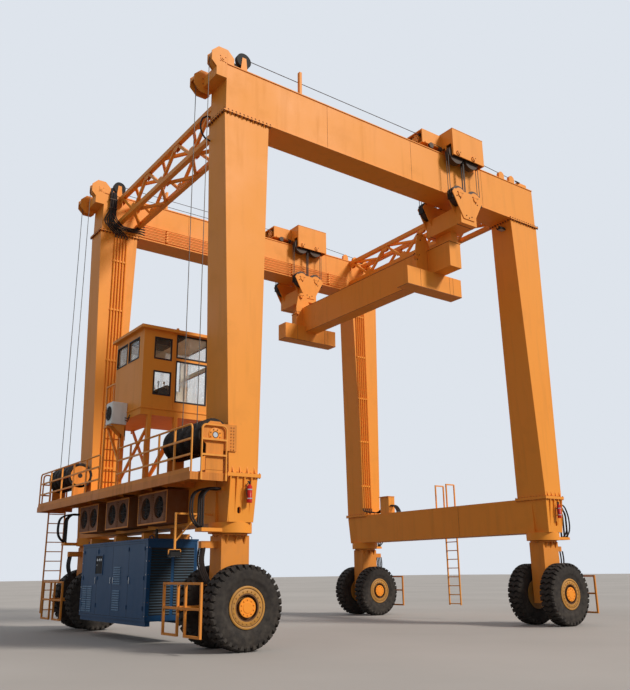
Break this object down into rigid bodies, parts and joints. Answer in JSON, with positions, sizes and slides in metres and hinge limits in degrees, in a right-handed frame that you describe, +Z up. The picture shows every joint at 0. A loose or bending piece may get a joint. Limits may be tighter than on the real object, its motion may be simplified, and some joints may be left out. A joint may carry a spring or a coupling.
{
  "type": "rubber tyred gantry crane",
  "caption": "Tall open portal on steered twin wheels; its two girders carry trolleys that travel and lower one lifting beam between the legs.",
  "frame": {"origin": "on the ground under the middle of the crane's overall box", "axes": "+X along the girders towards the right legs, +Y along the lower beams towards the far legs, +Z up"},
  "size_m": [14.265, 11.307, 15.335],
  "materials": {
    "orange_paint": "weathered gloss",
    "blue_paint": "weathered satin",
    "hose_rubber": "matte",
    "rim_paint": "worn gloss",
    "drum_steel": "oiled",
    "steel_rope": "greased",
    "sheave_iron": "worn",
    "white_plastic": "dusty",
    "tyre": "dusty matte",
    "cab_glass": "clear"
  },
  "bodies": {
    "frame": {"access_ladder": "orange_paint", "air_conditioner": "white_plastic", "beam_cabinet": "orange_paint", "beam_ladder": "orange_paint", "cab_base": "orange_paint", "cab_glass": "cab_glass", "cab_ladder": "orange_paint", "cab_roof": "orange_paint", "cab_wall_far": "orange_paint", "cab_wall_inner": "orange_paint", "cab_wall_near": "orange_paint", "cab_wall_outer": "orange_paint", "corner_hoses": "hose_rubber", "deck": "orange_paint", "generator_cradle": "orange_paint", "generator_housing": "blue_paint", "girder_far": "orange_paint", "girder_near": "orange_paint", "guide_sheaves": "sheave_iron", "handrail_ends": "orange_paint", "handrail_outer": "orange_paint", "leg_far_left": "orange_paint", "leg_far_right": "orange_paint", "leg_near_left": "orange_paint", "leg_near_right": "orange_paint", "lower_beam_left": "orange_paint", "lower_beam_right": "orange_paint", "pipe_runs": "orange_paint", "rope_head_far": "orange_paint", "rope_head_near": "orange_paint", "truss_left": "orange_paint", "truss_right": "orange_paint", "under_deck_units": "orange_paint", "winch_frame_far": "orange_paint", "winch_frame_near": "orange_paint", "winch_ropes": "steel_rope"},
    "steer_near_left": {"steering_near_left": "orange_paint"},
    "wheels_near_left": {"rims_near_left": "rim_paint", "tyres_near_left": "tyre"},
    "steer_near_right": {"steering_near_right": "orange_paint"},
    "wheels_near_right": {"rims_near_right": "rim_paint", "tyres_near_right": "tyre"},
    "steer_far_left": {"steering_far_left": "orange_paint"},
    "wheels_far_left": {"rims_far_left": "rim_paint", "tyres_far_left": "tyre"},
    "steer_far_right": {"steering_far_right": "orange_paint"},
    "wheels_far_right": {"rims_far_right": "rim_paint", "tyres_far_right": "tyre"},
    "trolley_near": {"trolley_near": "orange_paint", "trolley_sheaves_near": "sheave_iron", "rope_falls": "steel_rope"},
    "trolley_far": {"trolley_far": "orange_paint", "trolley_sheaves_far": "sheave_iron"},
    "lifting_gear": {"hook_block_near": "orange_paint", "hook_block_far": "orange_paint", "hook_block_sheaves": "sheave_iron", "beam_hangers": "orange_paint", "lifting_beam": "orange_paint"},
    "drum_near": {"winch_drum_near": "drum_steel"},
    "drum_far": {"winch_drum_far": "drum_steel"}
  },
  "joints": [
    {"name": "steering_near_left", "type": "hinge", "parent": "frame", "child": "steer_near_left", "pos_m": [-5.2225, -4.7485, 0.9], "axis": [0, 0, 1], "range_deg": [-90, 90]},
    {"name": "rolling_near_left", "type": "hinge", "parent": "steer_near_left", "child": "wheels_near_left", "pos_m": [-5.2225, -4.7485, 0.9], "axis": [0, 1, 0], "continuous": true},
    {"name": "steering_near_right", "type": "hinge", "parent": "frame", "child": "steer_near_right", "pos_m": [5.9575, -4.7485, 0.9], "axis": [0, 0, 1], "range_deg": [-90, 90]},
    {"name": "rolling_near_right", "type": "hinge", "parent": "steer_near_right", "child": "wheels_near_right", "pos_m": [5.9575, -4.7485, 0.9], "axis": [0, 1, 0], "continuous": true},
    {"name": "steering_far_left", "type": "hinge", "parent": "frame", "child": "steer_far_left", "pos_m": [-5.2225, 3.9715, 0.9], "axis": [0, 0, 1], "range_deg": [-90, 90]},
    {"name": "rolling_far_left", "type": "hinge", "parent": "steer_far_left", "child": "wheels_far_left", "pos_m": [-5.2225, 3.9715, 0.9], "axis": [0, 1, 0], "continuous": true},
    {"name": "steering_far_right", "type": "hinge", "parent": "frame", "child": "steer_far_right", "pos_m": [5.9575, 3.9715, 0.9], "axis": [0, 0, 1], "range_deg": [-90, 90]},
    {"name": "rolling_far_right", "type": "hinge", "parent": "steer_far_right", "child": "wheels_far_right", "pos_m": [5.9575, 3.9715, 0.9], "axis": [0, 1, 0], "continuous": true},
    {"name": "trolley_near_travel", "type": "slide", "parent": "frame", "child": "trolley_near", "axis": [1, 0, 0], "range_m": [-4.7, 0.75]},
    {"name": "trolley_far_travel", "type": "slide", "parent": "frame", "child": "trolley_far", "axis": [1, 0, 0], "range_m": [-4.7, 0.75]},
    {"name": "hoist", "type": "slide", "parent": "trolley_near", "child": "lifting_gear", "axis": [0, 0, 1], "range_m": [-9.2, 0], "deforming": ["rope_falls"]},
    {"name": "winch_near_spin", "type": "hinge", "parent": "frame", "child": "drum_near", "pos_m": [-5.9825, -4.7485, 4.6], "axis": [0, 1, 0], "continuous": true},
    {"name": "winch_far_spin", "type": "hinge", "parent": "frame", "child": "drum_far", "pos_m": [-5.9825, 3.9715, 4.6], "axis": [0, 1, 0], "continuous": true}
  ],
  "couplings": [
    {"joint": "trolley_far_travel", "follows": "trolley_near_travel", "ratio": 1}
  ]
}
